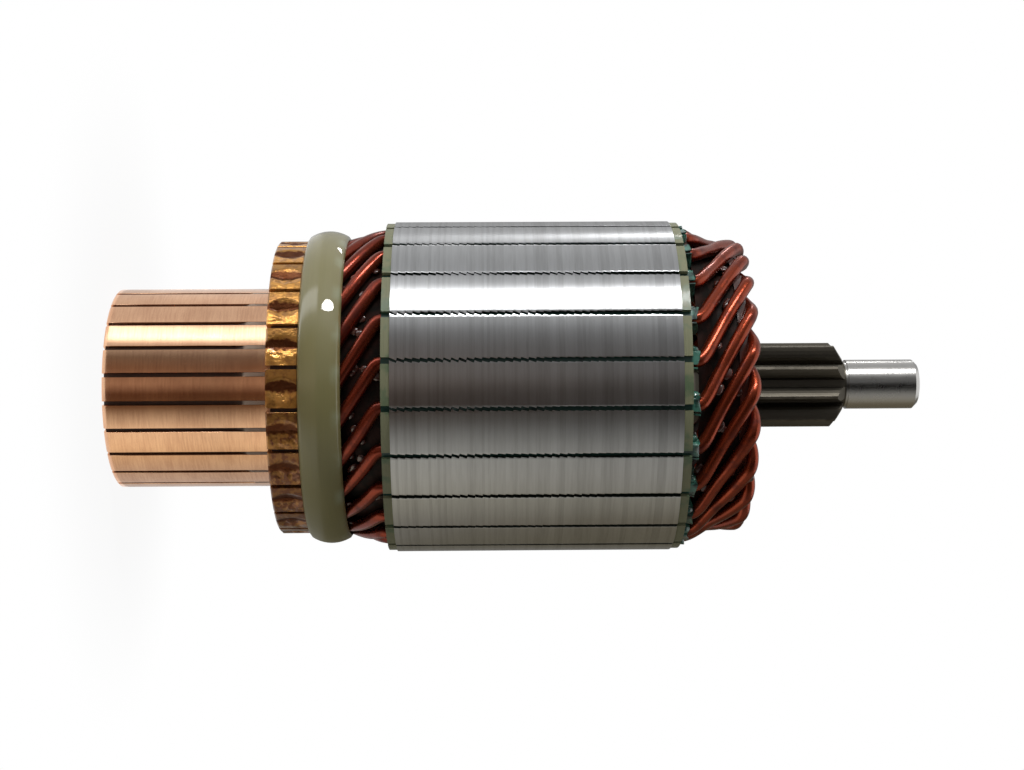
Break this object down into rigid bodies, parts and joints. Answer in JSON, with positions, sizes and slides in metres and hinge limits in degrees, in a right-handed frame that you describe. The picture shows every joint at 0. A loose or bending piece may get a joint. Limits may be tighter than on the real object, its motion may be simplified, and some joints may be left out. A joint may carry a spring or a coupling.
{
  "type": "starter motor armature",
  "caption": "Armature of a geared starter motor: barrel commutator with risers, banded hairpin winding in a slotted laminated core, and a sun gear cut on its shaft.",
  "frame": {"origin": "centre of the commutator's end face, on which the armature stands", "axes": "+Z along the shaft towards the drive end; -Y towards the picture's camera, with -X up in the picture"},
  "size_m": [0.06, 0.06, 0.1452],
  "materials": {
    "shaft_steel": "ground journals, dark oxide on the gear",
    "lamination_steel": "turned over the stacked sheets, satin",
    "end_sheet_laminate": "satin olive laminate",
    "liner_film": "green film under clear varnish",
    "sleeve_steel": "satin",
    "phenolic": "moulded, dark brown",
    "banding_resin": "resin over glass tape, glossy",
    "layer_paper": "varnished paper",
    "commutator_copper": "turned copper, satin",
    "enamelled_wire": "red enamel, glossy"
  },
  "bodies": {
    "root": {"shaft": "shaft_steel", "core_stack": "lamination_steel", "front_end_sheet": "end_sheet_laminate", "rear_end_sheet": "end_sheet_laminate", "slot_liners": "liner_film", "commutator_sleeve": "sleeve_steel", "commutator_moulding": "phenolic", "banding": "banding_resin", "front_layer_insulation": "layer_paper", "rear_layer_insulation": "layer_paper", "commutator_bar_01": "commutator_copper", "commutator_bar_02": "commutator_copper", "commutator_bar_03": "commutator_copper", "commutator_bar_04": "commutator_copper", "commutator_bar_05": "commutator_copper", "commutator_bar_06": "commutator_copper", "commutator_bar_07": "commutator_copper", "commutator_bar_08": "commutator_copper", "commutator_bar_09": "commutator_copper", "commutator_bar_10": "commutator_copper", "commutator_bar_11": "commutator_copper", "commutator_bar_12": "commutator_copper", "commutator_bar_13": "commutator_copper", "commutator_bar_14": "commutator_copper", "commutator_bar_15": "commutator_copper", "commutator_bar_16": "commutator_copper", "commutator_bar_17": "commutator_copper", "commutator_bar_18": "commutator_copper", "commutator_bar_19": "commutator_copper", "commutator_bar_20": "commutator_copper", "commutator_bar_21": "commutator_copper", "commutator_bar_22": "commutator_copper", "commutator_bar_23": "commutator_copper", "coil_01": "enamelled_wire", "coil_02": "enamelled_wire", "coil_03": "enamelled_wire", "coil_04": "enamelled_wire", "coil_05": "enamelled_wire", "coil_06": "enamelled_wire", "coil_07": "enamelled_wire", "coil_08": "enamelled_wire", "coil_09": "enamelled_wire", "coil_10": "enamelled_wire", "coil_11": "enamelled_wire", "coil_12": "enamelled_wire", "coil_13": "enamelled_wire", "coil_14": "enamelled_wire", "coil_15": "enamelled_wire", "coil_16": "enamelled_wire", "coil_17": "enamelled_wire", "coil_18": "enamelled_wire", "coil_19": "enamelled_wire", "coil_20": "enamelled_wire", "coil_21": "enamelled_wire", "coil_22": "enamelled_wire", "coil_23": "enamelled_wire"}
  },
  "joints": []
}
